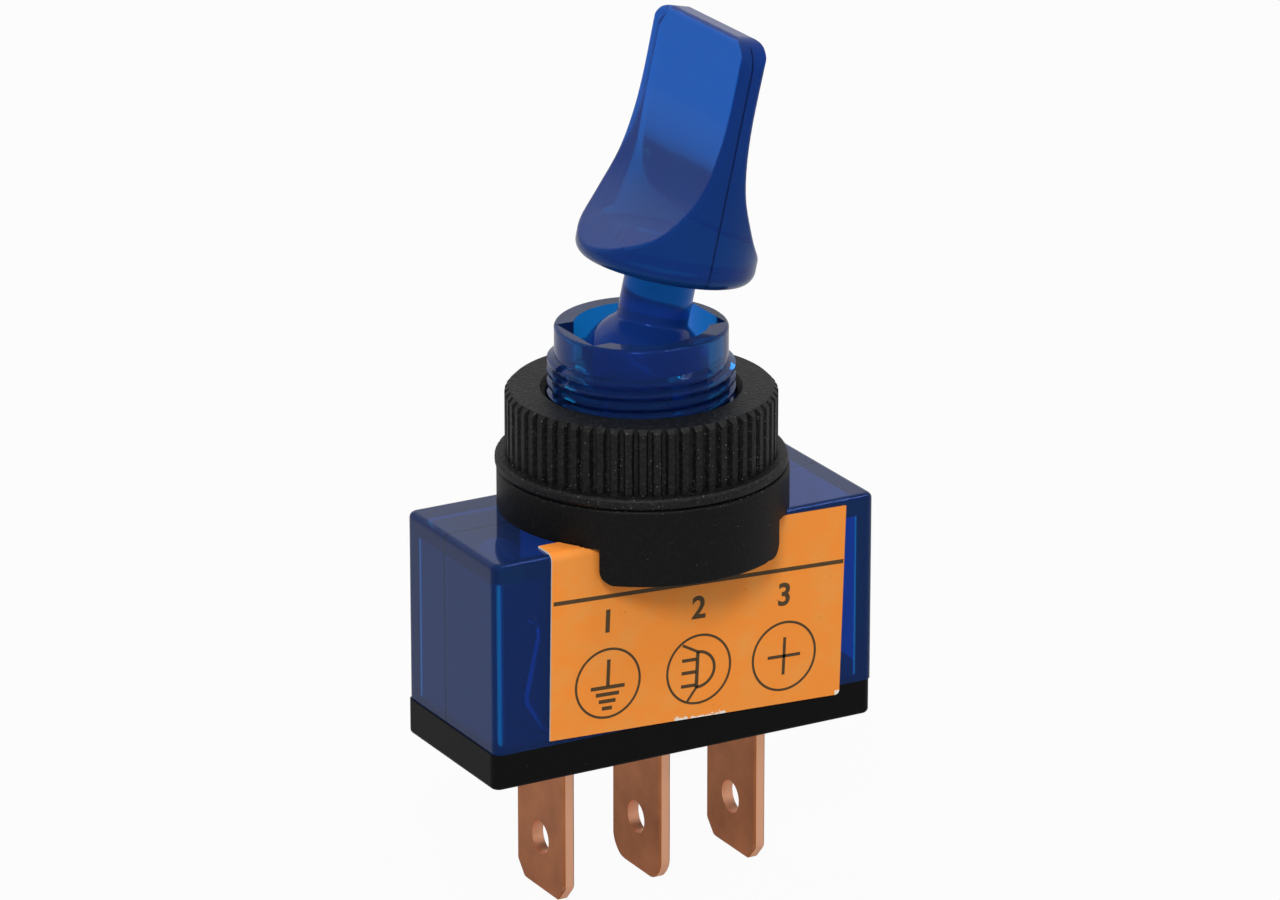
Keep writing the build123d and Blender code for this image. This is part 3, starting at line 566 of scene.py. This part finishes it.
def labelStrokes():
    # the rule, then each sign's ring and lines, and the lamp's bow
    line, steps, bow = printInk["lineWidth"], printInk["ringSteps"], printInk["lampBow"]
    drawings = [printInk["groundLines"], printInk["lampLines"], printInk["plusLines"]]
    strokes = [(printInk["rule"], printInk["ruleWidth"])]
    for centre, drawing in zip(printInk["signs"], drawings):
        strokes.append((arc(centre, printInk["ringRadius"], 0, 360, steps), printInk["ringWidth"]))
        strokes += [(turned(path, centre), share * line) for path, share in drawing]
    bowPath = arc(bow["centre"], bow["radius"], 90, -90, steps // 2, bow["widen"])
    strokes.append((turned(bowPath, printInk["signs"][1]), bow["width"] * line))
    return strokes


def plainInk():
    # dried ink, a little paler in patches
    material, tree, output = newMaterial(printInk["name"])
    place = addNode(tree, "ShaderNodeTexCoord").outputs["Object"]
    patchy = addNode(tree, "ShaderNodeTexNoise", None, {
        "Vector": place, "Scale": 1 / (printInk["wornSize"] * mm), "Detail": 3.0})
    shade = addNode(tree, "ShaderNodeMix", {"data_type": "RGBA"}, {
        "Factor": patchy.outputs["Fac"], "A": colour(printInk["body"]), "B": colour(printInk["worn"])})
    surface = addNode(tree, "ShaderNodeBsdfPrincipled", None, {
        "Base Color": shade.outputs["Result"], "Roughness": printInk["roughness"],
        "Specular IOR Level": printInk["specular"]})
    tree.links.new(surface.outputs["BSDF"], output.inputs["Surface"])
    return material


ink = plainInk()
inkFace = labelLow.y / mm
strokePoints, strokeFaces = strokeMesh(labelStrokes(), inkFace, printInk["thickness"])
labelSigns = meshPiece("labelSigns", strokePoints * mm, strokeFaces, ink)
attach(labelSigns, switchBody)


def labelNumber(text, centre):
    # the digit's outline as thin ink, stood up against the label and turned by its slant
    curve = bpy.data.curves.new("number" + text, "FONT")
    curve.body, curve.align_x, curve.align_y = text, "CENTER", "CENTER"
    curve.size = printInk["numberHeight"] * printInk["numberSize"] * mm
    curve.extrude = printInk["thickness"] * mm / 2
    curve.offset = printInk["numberBold"] * mm
    written = bpy.data.objects.new("written" + text, curve)
    bpy.context.collection.objects.link(written)
    bpy.context.view_layer.update()
    mesh = bpy.data.meshes.new_from_object(written)
    bpy.data.objects.remove(written)
    face = Vector((centre[0], inkFace - printInk["thickness"] / 2, centre[1])) * mm
    slant = Matrix.Rotation(math.radians(-printInk["slant"]), 4, "Y")
    mesh.transform(Matrix.Translation(face) @ slant @ Matrix.Rotation(math.radians(90), 4, "X"))
    mesh.materials.clear()
    mesh.materials.append(ink)
    piece = bpy.data.objects.new("labelNumber" + text, mesh)
    bpy.context.collection.objects.link(piece)
    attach(piece, switchBody)


ruleStart, ruleEnd = printInk["rule"]
for text, sign in zip("123", printInk["signs"]):
    share = (sign[0] - ruleStart[0]) / (ruleEnd[0] - ruleStart[0])
    ruleHeight = ruleStart[1] + share * (ruleEnd[1] - ruleStart[1])
    labelNumber(text, (sign[0], ruleHeight - printInk["numberDrop"]))
print("label printed")


# Floor and world: white where the camera sees them, and a softer light on the object
studio = {
    "floorDrop": 0.05, "floorHalf": 4.0,  # millimetres below the blades, and metres to each side
    "floorColour": "#b4b4b4", "floorGlow": 0.95, "floorGloss": 0.2,
    "worldLight": 0.54, "worldGloss": 0.65, "background": "#ffffff",
    "aimHeight": 4.75}  # millimetres above the housing, where the lights and the camera point


def paleFloor():
    material, tree, output = newMaterial("pale studio floor")
    rays = addNode(tree, "ShaderNodeLightPath")
    straight = addNode(tree, "ShaderNodeMath", {"operation": "MAXIMUM"}, {
        0: rays.outputs["Is Camera Ray"], 1: rays.outputs["Is Transmission Ray"]})
    glow = addNode(tree, "ShaderNodeMath", {"operation": "MULTIPLY"}, {
        0: straight.outputs[0], 1: studio["floorGlow"]})
    gloss = addNode(tree, "ShaderNodeMath", {"operation": "MULTIPLY"}, {
        0: rays.outputs["Is Glossy Ray"], 1: studio["floorGloss"]})
    shown = addNode(tree, "ShaderNodeMath", {"operation": "MAXIMUM"}, {
        0: glow.outputs[0], 1: gloss.outputs[0]})
    matt = addNode(tree, "ShaderNodeBsdfDiffuse", None, {"Color": colour(studio["floorColour"])})
    white = addNode(tree, "ShaderNodeEmission", None, {
        "Color": colour(studio["background"]), "Strength": shown.outputs[0]})
    dim = addNode(tree, "ShaderNodeMath", {"operation": "SUBTRACT"}, {0: 1.0, 1: shown.outputs[0]})
    black = addNode(tree, "ShaderNodeEmission", None, {"Color": (0, 0, 0, 1), "Strength": 0.0})
    soft = addNode(tree, "ShaderNodeMixShader", None, {
        0: dim.outputs[0], 1: black.outputs[0], 2: matt.outputs[0]})
    both = addNode(tree, "ShaderNodeAddShader", None, {0: white.outputs[0], 1: soft.outputs[0]})
    tree.links.new(both.outputs[0], output.inputs["Surface"])
    return material


floorHeight = cadLow.z - studio["floorDrop"] * mm
half = studio["floorHalf"]
corners = [(x, y, floorHeight) for x, y in ((-half, -half), (half, -half), (half, half), (-half, half))]
floor = meshPiece("floor", corners, [(0, 1, 2, 3)], paleFloor())

world = bpy.data.worlds.new("soft studio")
bpy.context.scene.world = world
world.use_nodes = True
tree = world.node_tree
tree.nodes.clear()
rays = addNode(tree, "ShaderNodeLightPath")
seen = addNode(tree, "ShaderNodeMath", {"operation": "MAXIMUM"}, {
    0: rays.outputs["Is Camera Ray"], 1: rays.outputs["Is Transmission Ray"]})
mirrored = addNode(tree, "ShaderNodeMath", {"operation": "MULTIPLY"}, {
    0: rays.outputs["Is Glossy Ray"], 1: studio["worldGloss"]})
shown = addNode(tree, "ShaderNodeMath", {"operation": "MAXIMUM"}, {
    0: seen.outputs[0], 1: mirrored.outputs[0]})
strength = addNode(tree, "ShaderNodeMath", {"operation": "MAXIMUM"}, {
    0: shown.outputs[0], 1: studio["worldLight"]})
sky = addNode(tree, "ShaderNodeBackground", None, {
    "Color": colour(studio["background"]), "Strength": strength.outputs[0]})
addNode(tree, "ShaderNodeOutputWorld", None, {"Surface": sky.outputs[0]})

# Softboxes: place and size in metres, power in watts, and whether it shows in the gloss
softboxes = {
    "keySoftbox": {"place": (-0.30, -0.45, 0.50), "size": 0.2, "power": 2.4, "mirrors": True},
    "fillSoftbox": {"place": (0.36, -0.25, 0.62), "size": 0.15, "power": 0.9, "mirrors": True},
    "backSoftbox": {"place": (-0.10, 0.55, 0.45), "size": 0.35, "power": 1.2, "mirrors": False},
}
aim = Vector((0, 0, studio["aimHeight"] * mm))
for name, settings in softboxes.items():
    light = bpy.data.lights.new(name, "AREA")
    light.size, light.energy = settings["size"], settings["power"]
    lamp = bpy.data.objects.new(name, light)
    bpy.context.collection.objects.link(lamp)
    lamp.location = Vector(settings["place"])
    lamp.rotation_euler = (aim - lamp.location).to_track_quat("-Z", "Y").to_euler()
    lamp.visible_glossy = settings["mirrors"]
print("studio lit")

# Camera: the photograph's viewing angle and distance, with a long lens
viewpoint = {
    "azimuth": 29.324, "elevation": 19.628, "distance": 0.46116, "lens": 203.989, "sensor": 36.0,
    "shiftX": -0.00105, "shiftY": -0.0148, "nearest": 0.01, "farthest": 20.0}
azimuth, elevation = math.radians(viewpoint["azimuth"]), math.radians(viewpoint["elevation"])
back = Vector((
    -math.sin(azimuth) * math.cos(elevation), -math.cos(azimuth) * math.cos(elevation), math.sin(elevation)))
cameraData = bpy.data.cameras.new("camera")
camera = bpy.data.objects.new("camera", cameraData)
bpy.context.collection.objects.link(camera)
camera.location = aim + back * viewpoint["distance"]
camera.rotation_euler = (-back).to_track_quat("-Z", "Y").to_euler()
cameraData.sensor_width, cameraData.lens = viewpoint["sensor"], viewpoint["lens"]
cameraData.shift_x, cameraData.shift_y = viewpoint["shiftX"], viewpoint["shiftY"]
cameraData.clip_start, cameraData.clip_end = viewpoint["nearest"], viewpoint["farthest"]
cameraData.dof.use_dof = False
bpy.context.scene.camera = camera
bpy.context.scene.view_settings.view_transform = "Standard"

print("camera placed")
